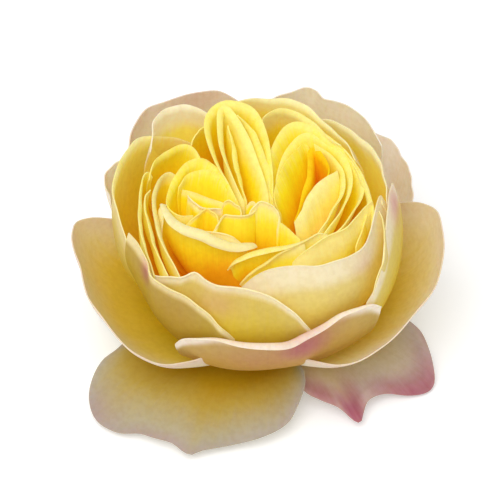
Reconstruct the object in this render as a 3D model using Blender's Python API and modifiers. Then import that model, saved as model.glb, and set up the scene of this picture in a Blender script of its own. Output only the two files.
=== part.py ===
"""A cut garden-rose bloom, face up on its short stem stub: real sizes, one named object for each sub-part.

Sizes are in millimetres and are turned into metres when a mesh is made. +Z is up, the floor and the
flat cut of the stem are at z = 0, and the bloom's axis stands over the origin. Azimuths are in degrees,
0 towards +X and 90 towards +Y.

Every petal is placed through one "bloom map". A shell number says how far out a petal lies: 0 is the
heart, 1 the inside of the cup, 2 the outside of the cup, 3 the spreading petals and 4 the guard petals.
Each shell has a meridian curve from its seat on the hip to its lip. Shells never cross, so neither do
petals that keep to their own shells.
"""
import math
from dataclasses import dataclass

import bmesh
import bpy
from mathutils import Vector

MM = 0.001
COLLECTION = "rose_bloom"

# Meridian curves of the shells: seat, two handles and lip, as (radius, height).
SHELL_CURVES = (
    ((0.9, 16.1), (1.4, 26.0), (2.4, 36.0), (2.4, 47.0)),
    ((6.6, 15.5), (13.0, 25.0), (42.0, 31.0), (31.5, 51.0)),
    ((8.4, 14.0), (33.0, 4.0), (43.5, 28.0), (36.0, 50.0)),
    ((8.5, 12.2), (29.0, 6.0), (47.0, 10.0), (54.5, 31.0)),
    ((8.4, 10.4), (26.0, 3.5), (43.0, 16.0), (55.0, -2.6)),
)

HEART_TWIST = 45.0       # turn of the heart's petals from lip to seat, in degrees
TWIST_SHELLS = (0.9, 1.6)  # shells between which the twist fades out

FAN_LEAN = 0.45          # how narrow a fan is at its foot
FAN_OPENING = 1.5        # how late, as it rises, a fan opens to its full width
FOLD_POWER = 3.0         # how square the end of a fold is

PETAL_THICKNESS = 0.6
PETAL_ACROSS = 10        # grid faces across a petal
PETAL_ALONG = 7          # grid faces from its claw to its lip
PETAL_ROUGHNESS = 0.55

LIP_START = 0.45         # reach at which a petal starts to pass from its shells to its lip's
LIP_LENGTH = 0.5
CURL_START = 0.8         # share of a petal's length at which its lip starts to roll out

GREEN_ROUGHNESS = 0.5
ROUND_STEPS = 24         # faces round the stem and the hip
STEM_RADIUS = 3.1
STEM_TOP = 3.6
STEM_TAPER = 0.94        # the stem's radius at its top, as a share of the one at its cut
HIP_PROFILE = (
    (3.3, 3.9), (6.2, 5.2), (7.6, 7.6), (7.95, 10.4), (7.9, 12.8), (7.3, 14.2), (6.2, 14.85), (3.4, 15.4),
)
HIP_CROWN = 0.2          # how far the middle of the hip's top stands above its rim

SEPAL_COUNT = 5
SEPAL_FIRST = 20.0       # azimuth of the first sepal
SEPAL_SEAT = (7.9, 6.4)  # where a sepal starts, as (radius, height)
SEPAL_LENGTH = 20.0
SEPAL_WIDTH = 7.0
SEPAL_DROP = 4.2         # how far its tip hangs below its seat
SEPAL_KEEL = 0.8         # how far its edges turn up
SEPAL_THICKNESS = 0.5
SEPAL_FOOT = 0.55        # its width at its seat, as a share of its greatest width
SEPAL_POINT = 0.9        # how far its width is drawn in at its tip
SEPAL_ACROSS = 4         # grid faces across a sepal
SEPAL_ALONG = 6          # grid faces from its seat to its tip

COLORS = {
    "heart": (0.93, 0.60, 0.04, 1.0),
    "fold": (0.93, 0.68, 0.07, 1.0),
    "cup": (0.90, 0.70, 0.25, 1.0),
    "spread": (0.82, 0.64, 0.30, 1.0),
    "guard": (0.70, 0.58, 0.30, 1.0),
    "green": (0.16, 0.26, 0.06, 1.0),
}


def mix(a, b, share):
    return a + (b - a) * share


def smooth(x):
    """0 below 0, 1 above 1, and an even S between."""
    x = min(1.0, max(0.0, x))
    return x * x * (3.0 - 2.0 * x)


def through(values, s):
    """The smooth line through evenly spaced values, at s from -1 to 1."""
    place = (s + 1.0) / 2.0 * (len(values) - 1)
    i = min(len(values) - 2, max(0, int(place)))
    x = place - i
    before = values[max(0, i - 1)]
    a, b = values[i], values[i + 1]
    after = values[min(len(values) - 1, i + 2)]
    slope_a, slope_b = (b - before) / 2.0, (after - a) / 2.0
    if i == 0:
        slope_a = b - a
    if i == len(values) - 2:
        slope_b = b - a
    cubic = x * x * x
    square = x * x
    return (a * (2 * cubic - 3 * square + 1) + slope_a * (cubic - 2 * square + x)
            + b * (3 * square - 2 * cubic) + slope_b * (cubic - square))


def twist(shell, reach):
    """How far, in radians, the bloom's heart turns between a point and the lip above it."""
    start, end = TWIST_SHELLS
    return math.radians(HEART_TWIST * (1.0 - reach) * (1.0 - smooth((shell - start) / (end - start))))


def meridian(shell, reach):
    """Radius and height on a shell's curve, at a reach of 0 at the seat and 1 at the lip."""
    low = min(len(SHELL_CURVES) - 2, max(0, int(shell)))
    share = shell - low
    rest = 1.0 - reach
    weights = (rest ** 3, 3 * rest * rest * reach, 3 * rest * reach * reach, reach ** 3)
    handles = tuple(zip(weights, SHELL_CURVES[low], SHELL_CURVES[low + 1]))
    radius = sum(weight * mix(a[0], b[0], share) for weight, a, b in handles)
    height = sum(weight * mix(a[1], b[1], share) for weight, a, b in handles)
    return radius, height


@dataclass(frozen=True)
class Fan:
    """A quarter of the bloom's heart: a bundle of folded petals about its own middle azimuth."""
    azimuth: float
    spread: float

    def place(self, side, reach):
        """The azimuth, in radians, of a place from -1 to 1 across the fan, which opens as it rises."""
        opened = mix(FAN_LEAN, 1.0, reach ** FAN_OPENING)
        return math.radians(self.azimuth + self.spread * side * opened)


LEFT_FAN = Fan(165.0, 35.0)
BACK_FAN = Fan(99.0, 25.0)
RIGHT_FAN = Fan(40.0, 34.0)


@dataclass(frozen=True)
class Petal:
    """One petal. s runs from -1 to 1 across it, clockwise edge first; rim is its reach at even steps of s."""
    name: str
    color: str
    plan: object
    rim: tuple
    claw: float
    claw_share: float
    claw_end: float
    curl: float


def wrap(name, color, azimuth, spread, shells, rim, lip=None, claw=0.0, claw_share=0.3, claw_end=0.5,
         curl=0.0):
    """A petal round the bloom's axis. shells lists its shell at even steps across it, lip the same
    at its lip.
    """
    def plan(s, reach):
        shell = through(shells, s)
        if lip:
            shell = mix(shell, through(lip, s), smooth((reach - LIP_START) / LIP_LENGTH))
        return shell, math.radians(azimuth + spread * s)
    return Petal(name, color, plan, rim, claw, claw_share, claw_end, curl)


def fold(name, fan, size, ends, rim, claw=0.0, claw_share=0.2, claw_end=0.85, curl=0.0):
    """A petal folded into a U whose open end faces the heart. ends are the turns, in degrees, of its
    two ends.
    """
    def plan(s, reach):
        turn = math.radians(ends[0] * (1 - s) / 2 + ends[1] * (1 + s) / 2)
        out, side = math.cos(turn), math.sin(turn)
        swell = (abs(out) ** FOLD_POWER + abs(side) ** FOLD_POWER) ** (-1 / FOLD_POWER)
        return size * swell * out, fan.place(size * swell * side, reach)
    return Petal(name, "fold", plan, rim, claw, claw_share, claw_end, curl)


def page(name, fan, sides, shells, rim, claw=0.0, claw_share=0.15, claw_end=0.9, curl=0.0):
    """A flat petal that stands along its fan. sides are its places across the fan, from heart to cup."""
    def plan(s, reach):
        return through(shells, s), fan.place(through(sides, s), reach)
    return Petal(name, "heart", plan, rim, claw, claw_share, claw_end, curl)


PETALS = (
    # Guard petals, bent down to the floor.
    wrap("guard_front_left", "guard", -112, 42, (3.9, 3.88, 3.78), (0.82, 0.94, 0.96, 0.89, 0.62)),
    wrap("guard_front_right", "guard", -41, 31, (4.2, 4.08, 4.08), (0.68, 0.83, 0.84, 0.90, 0.82)),
    wrap("guard_right", "guard", 22, 32, (3.78, 3.88, 3.88), (0.66, 0.80, 0.84, 0.80, 0.66)),
    wrap("guard_back", "guard", 97, 36, (4.08, 4.08, 4.08), (0.66, 0.82, 0.88, 0.82, 0.66)),
    wrap("guard_left", "guard", 168, 34, (3.88, 3.88, 3.88), (0.66, 0.80, 0.84, 0.80, 0.66)),
    # Spreading petals.
    wrap("spread_left", "spread", 195, 38, (2.85, 2.85, 2.85), (0.90, 0.98, 0.90, 0.75, 0.60)),
    wrap("spread_right", "spread", -14, 38, (2.8, 2.8, 2.8), (0.58, 0.73, 0.88, 0.96, 0.90)),
    wrap("spread_back_left", "spread", 121, 26, (2.7, 2.7, 2.7), (0.86, 1.02, 1.08, 1.06, 0.90)),
    wrap("spread_left_back", "spread", 150, 20, (3.2, 3.2, 3.2), (0.78, 0.90, 0.94, 0.90, 0.74)),
    wrap("spread_back_right", "spread", 64, 28, (2.6, 2.6, 2.6), (0.92, 1.02, 1.08, 1.06, 0.90)),
    wrap("spread_right_back", "spread", 34, 22, (3.15, 3.15, 3.15), (0.78, 0.94, 1.0, 0.96, 0.78)),
    # The cup.
    wrap("cup_lip", "cup", -80, 46, (2.2, 2.2, 2.2), (0.62, 0.72, 0.76, 0.76, 0.68), lip=(1.8, 1.7, 1.7),
         curl=2.0),
    wrap("cup_front_left", "cup", -133, 35, (1.85, 1.85, 1.85), (0.97, 0.91, 0.85, 0.78, 0.62),
         lip=(1.7, 1.5, 1.5)),
    wrap("cup_front", "cup", -104, 39, (1.5, 1.5, 1.5), (0.90, 0.95, 0.94, 0.88, 0.68),
         lip=(1.4, 0.98, 0.93, 1.0, 1.3)),
    wrap("cup_front_right", "cup", -50, 54, (1.2, 1.2, 1.2), (0.86, 0.95, 0.98, 0.98, 0.94),
         lip=(0.82, 0.68, 0.80, 1.06, 1.08)),
    wrap("cup_right", "cup", -2, 34, (1.9, 1.9, 1.9), (0.62, 0.86, 0.94, 0.92, 0.84), lip=(1.6, 1.75, 1.9)),
    wrap("cup_right_back", "cup", 36, 30, (1.6, 1.6, 1.6), (0.85, 0.96, 0.98, 0.96, 0.85)),
    wrap("cup_back", "cup", 80, 32, (1.3, 1.3, 1.3), (0.90, 0.98, 1.0, 0.98, 0.90)),
    wrap("cup_back_left", "cup", 124, 25, (1.6, 1.6, 1.6), (0.85, 0.98, 1.02, 1.0, 0.80)),
    wrap("cup_left", "cup", 165, 36, (1.95, 1.95, 1.95), (0.86, 0.97, 1.0, 0.94, 0.70)),
    # Petals that line the cup.
    wrap("lining_left_1", "cup", 182, 38, (1.03, 1.03, 1.03), (0.84, 0.94, 0.94, 0.90, 0.78), claw=0.7,
         claw_share=0.2),
    wrap("lining_left_2", "cup", 190, 34, (0.93, 0.93, 0.95), (0.84, 0.93, 0.93, 0.88, 0.76), claw=-0.7,
         claw_share=0.2),
    wrap("lining_left_3", "fold", 190, 37, (0.83, 0.83, 0.85), (0.84, 0.93, 0.93, 0.88, 0.76), claw=0.5,
         claw_share=0.2),
    wrap("lining_back_left", "fold", 134, 17, (0.74, 0.86, 0.92), (0.82, 0.93, 0.95, 0.92, 0.82)),
    wrap("lining_back", "fold", 76, 18, (0.97, 0.97, 0.97), (0.84, 0.95, 0.98, 0.95, 0.84)),
    wrap("lining_right_1", "cup", 40, 33, (1.03, 1.03, 1.03), (0.84, 0.95, 0.97, 0.95, 0.84), claw=-0.7,
         claw_share=0.2),
    wrap("lining_right_2", "fold", 28, 24, (0.93, 0.93, 0.93), (0.82, 0.94, 0.96, 0.95, 0.84), claw=0.8,
         claw_share=0.2),
    # Folds of the three fans, outermost first.
    fold("fold_left_1", LEFT_FAN, 0.76, (-76, 60), (0.84, 0.92, 0.95, 0.93, 0.80)),
    fold("fold_left_2", LEFT_FAN, 0.57, (-66, 56), (0.80, 0.90, 0.93, 0.90, 0.80)),
    fold("fold_left_3", LEFT_FAN, 0.40, (-50, 45), (0.80, 0.88, 0.90, 0.88, 0.80)),
    fold("fold_back_1", BACK_FAN, 0.92, (-77, 77), (0.84, 0.97, 1.03, 0.98, 0.84)),
    fold("fold_back_2", BACK_FAN, 0.70, (-60, 62), (0.82, 0.96, 1.02, 0.97, 0.84)),
    fold("fold_right_1", RIGHT_FAN, 0.80, (-74, 76), (0.84, 0.94, 0.98, 0.97, 0.84)),
    fold("fold_right_2", RIGHT_FAN, 0.64, (-66, 66), (0.82, 0.93, 0.97, 0.95, 0.82)),
    fold("fold_right_3", RIGHT_FAN, 0.50, (-56, 60), (0.80, 0.91, 0.96, 0.93, 0.80)),
    # Pages that stand inside the folds.
    page("page_left_1", LEFT_FAN, (-0.16, -0.12, -0.1), (0.20, 0.27, 0.34), (0.80, 0.90, 0.92, 0.90, 0.80)),
    page("page_back_1", BACK_FAN, (-0.3, -0.36, -0.25), (0.26, 0.42, 0.60), (0.82, 0.95, 1.0, 1.0, 0.92),
         claw=-0.5),
    page("page_back_2", BACK_FAN, (0.42, 0.36, 0.22), (0.26, 0.42, 0.60), (0.82, 0.94, 0.99, 1.0, 0.92),
         claw=0.6),
    page("page_right_1", RIGHT_FAN, (0.34, 0.3, 0.15), (0.20, 0.32, 0.42), (0.80, 0.92, 0.97, 0.96, 0.86),
         claw=0.9),
    page("page_right_2", RIGHT_FAN, (0.0, 0.0, 0.0), (0.18, 0.30, 0.42), (0.80, 0.92, 0.95, 0.95, 0.86),
         claw=-0.9),
    page("page_right_3", RIGHT_FAN, (-0.34, -0.3, -0.15), (0.22, 0.32, 0.42), (0.80, 0.90, 0.95, 0.95, 0.86),
         claw=0.1),
    # Petals that wrap across the front of the heart.
    wrap("front_fold_1", "fold", -70, 44, (0.58, 0.40, 0.46, 0.52), (0.86, 0.92, 0.93, 0.92, 0.84)),
    wrap("front_fold_2", "fold", -80, 26, (0.70, 0.52, 0.54), (0.82, 0.90, 0.91, 0.90, 0.82)),
    wrap("front_fold_3", "fold", -33, 34, (0.62, 0.60, 0.68, 0.88), (0.86, 0.93, 0.95, 0.96, 0.92)),
    wrap("front_flank_1", "fold", 218, 38, (0.76, 0.60, 0.44, 0.36, 0.30), (0.90, 0.93, 0.93, 0.92, 0.86)),
    wrap("front_flank_2", "fold", 236, 16, (0.34, 0.28, 0.22), (0.84, 0.90, 0.94, 0.92, 0.86)),
    # The heart.
    wrap("heart_front", "heart", -75, 75, (0.05, 0.08, 0.05), (0.92, 1.0, 1.03, 1.0, 0.90)),
    wrap("heart_left", "heart", 184, 34, (0.14, 0.14, 0.15), (0.82, 0.94, 0.98, 0.94, 0.82)),
)


def petal_point(petal, u, v):
    """The petal's middle surface, for u from 0 to 1 across it and v from 0 at its claw to 1 at its lip."""
    width = mix(petal.claw_share, 1.0, smooth(v / petal.claw_end))
    s = mix(petal.claw, 2.0 * u - 1.0, width)
    reach = v * through(petal.rim, s)
    shell, azimuth = petal.plan(s, reach)
    azimuth += twist(shell, reach)
    curl = petal.curl * max(0.0, (v - CURL_START) / (1.0 - CURL_START)) ** 2
    radius, height = meridian(shell, reach)
    return Vector(((radius + curl) * math.cos(azimuth), (radius + curl) * math.sin(azimuth), height)) * MM


def material(name, color, roughness):
    made = bpy.data.materials.new(name)
    made.use_nodes = True
    shader = made.node_tree.nodes["Principled BSDF"]
    shader.inputs["Base Color"].default_value = color
    shader.inputs["Roughness"].default_value = roughness
    shader.inputs["Metallic"].default_value = 0.0
    made.diffuse_color = color
    return made


def finished(name, bm, surface, collection):
    """Turn a bmesh into an object of the collection, shaded smooth."""
    mesh = bpy.data.meshes.new(name)
    bm.to_mesh(mesh)
    bm.free()
    mesh.materials.append(surface)
    mesh.shade_smooth()
    made = bpy.data.objects.new(name, mesh)
    collection.objects.link(made)
    return made


def solidify(made, thickness):
    shell = made.modifiers.new("Thickness", "SOLIDIFY")
    shell.thickness = thickness * MM
    shell.offset = 0.0
    shell.use_even_offset = True


def make_petal(petal, collection):
    bm = bmesh.new()
    bmesh.ops.create_grid(bm, x_segments=PETAL_ACROSS, y_segments=PETAL_ALONG, size=0.5)
    for vert in bm.verts:
        vert.co = petal_point(petal, vert.co.x + 0.5, vert.co.y + 0.5)
    surface = material(petal.name, COLORS[petal.color], PETAL_ROUGHNESS)
    solidify(finished(petal.name, bm, surface, collection), PETAL_THICKNESS)


def make_hip(collection):
    """The hip: a turned urn that the petals stand on."""
    bm = bmesh.new()
    outline = [(0.0, HIP_PROFILE[0][1]), *HIP_PROFILE, (0.0, HIP_PROFILE[-1][1] + HIP_CROWN)]
    verts = [bm.verts.new((radius * MM, 0.0, height * MM)) for radius, height in outline]
    edges = [bm.edges.new(pair) for pair in zip(verts, verts[1:])]
    bmesh.ops.spin(bm, geom=verts + edges, cent=(0, 0, 0), axis=(0, 0, 1), angle=2 * math.pi,
                   steps=ROUND_STEPS, use_duplicate=False)
    bmesh.ops.remove_doubles(bm, verts=bm.verts, dist=0.01 * MM)
    bmesh.ops.recalc_face_normals(bm, faces=bm.faces)
    finished("hip", bm, material("hip", COLORS["green"], GREEN_ROUGHNESS), collection)


def make_stem(collection):
    bm = bmesh.new()
    bmesh.ops.create_cone(bm, cap_ends=True, segments=ROUND_STEPS, radius1=STEM_RADIUS * MM,
                          radius2=STEM_RADIUS * STEM_TAPER * MM, depth=STEM_TOP * MM)
    bmesh.ops.translate(bm, verts=bm.verts, vec=(0, 0, STEM_TOP / 2 * MM))
    finished("stem", bm, material("stem", COLORS["green"], GREEN_ROUGHNESS), collection)


def make_sepal(index, collection):
    """One of the hip's green sepals, arched out and down under the guard petals."""
    name = f"sepal_{index + 1}"
    turn = math.radians(SEPAL_FIRST + index * 360.0 / SEPAL_COUNT)
    bm = bmesh.new()
    bmesh.ops.create_grid(bm, x_segments=SEPAL_ACROSS, y_segments=SEPAL_ALONG, size=0.5)
    for vert in bm.verts:
        u, v = 2.0 * vert.co.x, vert.co.y + 0.5
        half = SEPAL_WIDTH / 2.0 * mix(SEPAL_FOOT, 1.0, math.sin(math.pi * v)) * (1.0 - SEPAL_POINT * v * v)
        out = SEPAL_SEAT[0] + SEPAL_LENGTH * v
        height = SEPAL_SEAT[1] - SEPAL_DROP * smooth(v) + SEPAL_KEEL * u * u * (1.0 - v)
        side = half * u
        vert.co = Vector((out * math.cos(turn) - side * math.sin(turn),
                          out * math.sin(turn) + side * math.cos(turn), height)) * MM
    surface = material(name, COLORS["green"], GREEN_ROUGHNESS)
    solidify(finished(name, bm, surface, collection), SEPAL_THICKNESS)


def main():
    for old in list(bpy.data.objects):
        bpy.data.objects.remove(old, do_unlink=True)
    collection = bpy.data.collections.new(COLLECTION)
    bpy.context.scene.collection.children.link(collection)
    make_stem(collection)
    make_hip(collection)
    for index in range(SEPAL_COUNT):
        make_sepal(index, collection)
    for petal in PETALS:
        make_petal(petal, collection)


main()
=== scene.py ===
"""A cut garden-rose bloom, face up on its stem stub, dressed petal by petal.

Sizes are in millimetres in the tables and become metres in the meshes. +Z is up, and the bloom's axis stands
over the origin. Every petal is placed through one bloom map. A shell number says how far out a petal lies: 0 is
the axis, 1 the inside of the cup, 2 the outside of the cup, 3 the spreading petals and 4 the guard petals. Each
shell has a meridian curve from its seat on the hip to its lip, and a reach from 0 at the seat to 1 at the lip.
"""

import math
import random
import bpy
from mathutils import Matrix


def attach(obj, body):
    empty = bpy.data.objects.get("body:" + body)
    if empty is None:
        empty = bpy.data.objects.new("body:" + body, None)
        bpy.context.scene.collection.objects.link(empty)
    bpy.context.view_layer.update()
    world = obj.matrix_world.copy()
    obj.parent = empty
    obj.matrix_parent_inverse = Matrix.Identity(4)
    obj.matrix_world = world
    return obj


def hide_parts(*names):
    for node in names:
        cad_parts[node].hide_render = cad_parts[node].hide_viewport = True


bl_info = {
    "name": "Cut Rose Bloom",
    "version": (1, 0, 0),
    "blender": (4, 5, 0),
    "location": "3D View > Sidebar > Rose",
    "description": "Builds a cut garden-rose bloom petal by petal, with its hip, sepals and stem stub",
    "category": "Object",
}

from dataclasses import dataclass

import bmesh
import bpy
import numpy as np
from mathutils import Vector

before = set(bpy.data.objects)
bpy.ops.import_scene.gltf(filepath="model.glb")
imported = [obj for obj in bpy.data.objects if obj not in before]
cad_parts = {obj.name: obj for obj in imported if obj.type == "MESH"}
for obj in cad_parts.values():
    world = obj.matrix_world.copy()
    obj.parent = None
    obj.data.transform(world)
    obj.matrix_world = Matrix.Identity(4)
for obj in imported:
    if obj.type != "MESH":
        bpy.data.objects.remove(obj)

MM = 0.001

# Meridian curves of the shells: seat, two handles and lip, as (radius, height).
SHELL_CURVES = np.array((
    ((0.0, 16.1), (0.0, 26.0), (0.0, 36.0), (0.0, 47.0)),
    ((6.6, 15.5), (13.0, 25.0), (42.0, 31.0), (31.5, 51.0)),
    ((8.4, 14.0), (33.0, 4.0), (43.5, 28.0), (36.0, 50.0)),
    ((8.5, 12.2), (29.0, 6.0), (47.0, 10.0), (54.5, 31.0)),
    ((8.4, 10.4), (26.0, 3.5), (43.0, 16.0), (55.0, -2.6)),
))
CUP_RADIUS = 31.5        # radius of the cup's inner wall at its lip
HEART_LEAN = 10.0        # how far the heart's petals lean back from their middle to their lip
WALL_END = 0.5           # share of a petal, from its claw, that stands in its wall
RISE_POWER = 1.4         # how sharply it then bends to its lip
FIRST_REACH = 0.8        # reach at which the search for a petal's own reach begins
FIRST_SPAN = 0.4         # how far either way it then looks
LAST_SPAN = 0.001        # span at which it ends
REACH_TRIES = 9          # places that it tries in each span
GATHER = 0.6             # how far a fan's petals draw in toward their valley below their lips
SAMPLES = 97             # places across a petal at which its plan is worked out
HEART_SHELL = 0.55       # shell up to which the heart leans in full
HEART_FADE = 0.6         # shells over which the lean then ends
ROW_POWER = 1.6          # how much closer a petal's rows stand at its lip than at its claw
OUTER_CELLS = (64, 48)   # a big petal's mesh cells across and along
INNER_CELLS = (56, 44)   # and a small petal's
SHARP_ANGLE = math.radians(60.0)  # least turn at which an edge of a petal is sharp

ROLL_HOLD = 0.4          # how far a rolled lip is put back to its place
RUFFLE_FROM = 0.55       # share of a petal's length at which its waves begin
RUFFLE_POWER = 1.5       # how sharply they then grow
WAVES = 2.5              # main waves along a lip
SMALL_WAVE = 0.4         # height of the finer waves beside the main ones
SMALL_WAVE_RATE = 2.3    # how many finer waves there are to a main one
SMALL_WAVE_PHASE = 2.7   # how much faster their start shifts from petal to petal
INNER_RUFFLE = 0.4       # height of an inner petal's waves beside an outer one's

CREAM_SPAN = 0.6         # share of a cream lip's length over which it comes in
EDGE_BLUSH_FROM = 0.86   # share of a petal's length at which the pink of its edge begins

# Stem stub and hip, in millimetres; the hip's profile is given as (radius, height).
STEM_RADIUS = 3.1
STEM_TOP = 3.6
STEM_TAPER = 0.94        # the stem's radius at its top beside that at its foot
STEM_BEVEL = 0.2
HIP_PROFILE = ((3.3, 3.9), (6.2, 5.2), (7.6, 7.6), (7.95, 10.4), (7.9, 12.8), (7.3, 14.2), (6.2, 14.85),
               (3.4, 15.4))
HIP_CROWN = 0.2          # how far the hip's top stands above its last ring

# Sepals, in millimetres.
SEPAL_COUNT = 5
SEPAL_FIRST = 20.0       # azimuth of the first, in degrees
SEPAL_SEAT = (7.9, 6.4)  # radius and height of its foot
SEPAL_LENGTH = 20.0
SEPAL_WIDTH = 7.0
SEPAL_FOOT = 0.55        # width of its foot beside its greatest width
SEPAL_POINT = 0.9        # how far it narrows to its tip
SEPAL_DROP = 4.2
SEPAL_KEEL = 0.8
SEPAL_THICKNESS = 0.5

# The stage, in metres.
FLOOR_REACH = 4.0        # from the floor's middle to its sides
FLOOR_ROUGHNESS = 0.9
FLOOR_GLOW = 0.27        # strength of the floor's own light, which keeps it pale under the bloom
LAMP_SIZE = 0.6
LAMP_PLACE = (-0.18, -0.32, 0.75)
BLOOM_MIDDLE = (0.0, 0.0, 0.025)
SENSOR_WIDTH = 36.0      # in millimetres
FRAME_SHIFT = (-0.016, 0.0139)  # how far the view lies off the bloom's middle, as a share of its width
WHITE = (1.0, 1.0, 1.0)


# --------------------------------------------------------------------------- bloom map

def mix(a, b, share):
    """a where share is 0 and b where it is 1, evenly between."""
    return a + (b - a) * share


def smooth(x):
    """0 below 0, 1 above 1, and an even S between."""
    x = np.clip(x, 0.0, 1.0)
    return x * x * (3.0 - 2.0 * x)


def through(values, s):
    """The smooth line through evenly spaced values or points, at an array of s from -1 to 1."""
    knots = np.asarray(values, dtype=float)
    last = len(knots) - 1
    place = (np.asarray(s) + 1.0) / 2.0 * last
    low = np.clip(place.astype(int), 0, last - 1)
    x = place - low
    if knots.ndim > 1:
        x = x[..., None]
    a, b = knots[low], knots[low + 1]
    before, after = knots[np.maximum(low - 1, 0)], knots[np.minimum(low + 2, last)]
    first, end = low == 0, low == last - 1
    if knots.ndim > 1:
        first, end = first[..., None], end[..., None]
    slope_a = np.where(first, b - a, (b - before) / 2.0)
    slope_b = np.where(end, b - a, (after - a) / 2.0)
    return (a * (2 * x ** 3 - 3 * x ** 2 + 1) + slope_a * (x ** 3 - 2 * x ** 2 + x)
            + b * (3 * x ** 2 - 2 * x ** 3) + slope_b * (x ** 3 - x ** 2))


def rise(share):
    """0 in a petal's wall and 1 at its lip, quickest at the lip, at a share of the way to it."""
    return np.clip((share - WALL_END) / (1.0 - WALL_END), 0.0, 1.0) ** RISE_POWER


def lean(shell, reach):
    """How far the heart bulges forward at a reach: nothing at the seat and at the lip."""
    inside = 1.0 - smooth((shell - HEART_SHELL) / HEART_FADE)
    return HEART_LEAN * inside * (1.0 - rise(reach)) * smooth(reach / WALL_END)


def meridian(shell, reach):
    """Radius and height on the shells' curves, at a reach of 0 at the seat and 1 at the lip."""
    low = np.clip(shell.astype(int), 0, len(SHELL_CURVES) - 2)
    curve = mix(SHELL_CURVES[low], SHELL_CURVES[low + 1], (shell - low)[..., None, None])
    rest = 1.0 - reach
    weights = np.stack((rest ** 3, 3 * rest * rest * reach, 3 * rest * reach * reach, reach ** 3), axis=-1)
    point = (curve * weights[..., None]).sum(axis=-2)
    return point[..., 0], point[..., 1]


def bloom_point(plan, reach):
    """The place in the bloom, in millimetres, above a place in plan in units of the cup's lip."""
    shell, azimuth = np.hypot(plan[..., 0], plan[..., 1]), np.arctan2(plan[..., 1], plan[..., 0])
    radius, height = meridian(shell, reach)
    return np.stack((radius * np.cos(azimuth), radius * np.sin(azimuth) - lean(shell, reach), height), axis=-1)


def nearest_reach(plan, lip):
    """The reach at which each place in plan comes nearest to its lip point."""
    shell, radius = np.hypot(plan[:, 0], plan[:, 1]), np.hypot(lip[:, 0], lip[:, 1])
    reach = np.full(len(lip), FIRST_REACH)
    span = FIRST_SPAN
    while span > LAST_SPAN:
        tries = reach[:, None] + np.linspace(-span, span, REACH_TRIES)
        radii, heights = meridian(np.broadcast_to(shell[:, None], tries.shape), tries)
        off = (radii - radius[:, None]) ** 2 + (heights - lip[:, 2:]) ** 2
        reach = np.take_along_axis(tries, off.argmin(axis=1)[:, None], axis=1)[:, 0]
        span /= 3.0
    return reach


# --------------------------------------------------------------------------- petals

@dataclass(frozen=True)
class Look:
    """How a petal's skin and lip differ from its neighbours', and the light and shade painted on it."""
    roll: float = 0.0          # turn of its lip's roll, in degrees, outward above 0
    roll_width: float = 2.0    # length that rolls, in millimetres
    roll_middle: float = 0.0   # place across it, from -1 to 1, where it rolls most
    ruffle: float = 0.25       # height of the waves along its lip, in millimetres
    pale: float = 0.0          # how far its colours fade to cream
    fade: float = 0.0          # how far down its light colours reach, as a share of its length: partly its own tone, partly painted light and shade
    blush: tuple = ()          # pink places: (across -1..1, along 0..1, width, length, strength)
    edge_blush: float = 0.0    # pink all along its lip
    painted_hollow_shade: tuple = ()        # painted shade of hollows: deeper places, given in the same way
    cream: float = 0.0         # how far its rolled lip fades to cream
    cream_from: float = 0.90   # share of its length at which that begins
    shade: float = 0.0         # how far painted shade deepens its colours


@dataclass(frozen=True)
class Petal:
    """One petal, by its wall's line in plan, its lip in millimetres and its reach, at even steps across it."""
    name: str
    kind: str
    plan: np.ndarray
    lip: np.ndarray
    reaches: np.ndarray
    claw: float = 0.0          # place across it, from -1 to 1, above which its claw stands
    claw_share: float = 0.3    # width of its claw beside its lip's
    claw_end: float = 0.5      # share of its length at which it has its full width
    look: Look = Look()
    node: bool = True          # whether the bloom's solids have it too


def ring(*points):
    """Points given by azimuth, radius and height, as x, y and z."""
    return tuple((radius * math.cos(math.radians(azimuth)), radius * math.sin(math.radians(azimuth)), height)
                 for azimuth, radius, height in points)


def even(values):
    """The smooth line through points, cut at even lengths."""
    fine = through(values, np.linspace(-1.0, 1.0, SAMPLES * 4))
    lengths = np.concatenate(((0.0,), np.cumsum(np.linalg.norm(np.diff(fine, axis=0), axis=1))))
    places = np.linspace(0.0, lengths[-1], SAMPLES)
    return np.stack([np.interp(places, lengths, fine[:, axis]) for axis in range(3)], axis=-1)


def gathered(points, valley):
    """Points in plan drawn in toward the line of a valley."""
    start, end = np.array(valley[0]), np.array(valley[1])
    span = end - start
    share = np.clip(((points - start) @ span) / (span @ span), 0.0, 1.0)
    return mix(points, start + share[:, None] * span, GATHER)


def sheet(name, kind, rim, shells=None, foot=None, valley=None, **rest):
    """A petal whose lip runs through points in millimetres, clockwise end first. Its wall stands under its
    lip, or on the shells given, on the line foot, or on the lip's line drawn in toward a valley."""
    lip = even(rim)
    steps = np.linspace(-1.0, 1.0, SAMPLES)
    if foot:
        plan = through(foot, steps) / CUP_RADIUS
    elif valley:
        plan = gathered(lip[:, :2], valley) / CUP_RADIUS
    elif shells:
        plan = lip[:, :2] / np.linalg.norm(lip[:, :2], axis=1)[:, None] * through(shells, steps)[:, None]
    else:
        plan = lip[:, :2] / CUP_RADIUS
    return Petal(name, kind, plan, lip, nearest_reach(plan, lip), **rest)


# The fans' valleys, which their petals slope down to, as (x, y) in millimetres.
LEFT = ((-20, 7), (-8, 2))
BACK = ((-7, 25), (-3.5, 5))
RIGHT = ((16, 13), (8.5, -2.5))
HOLLOW = ((16, 14), (12, 3))

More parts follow.
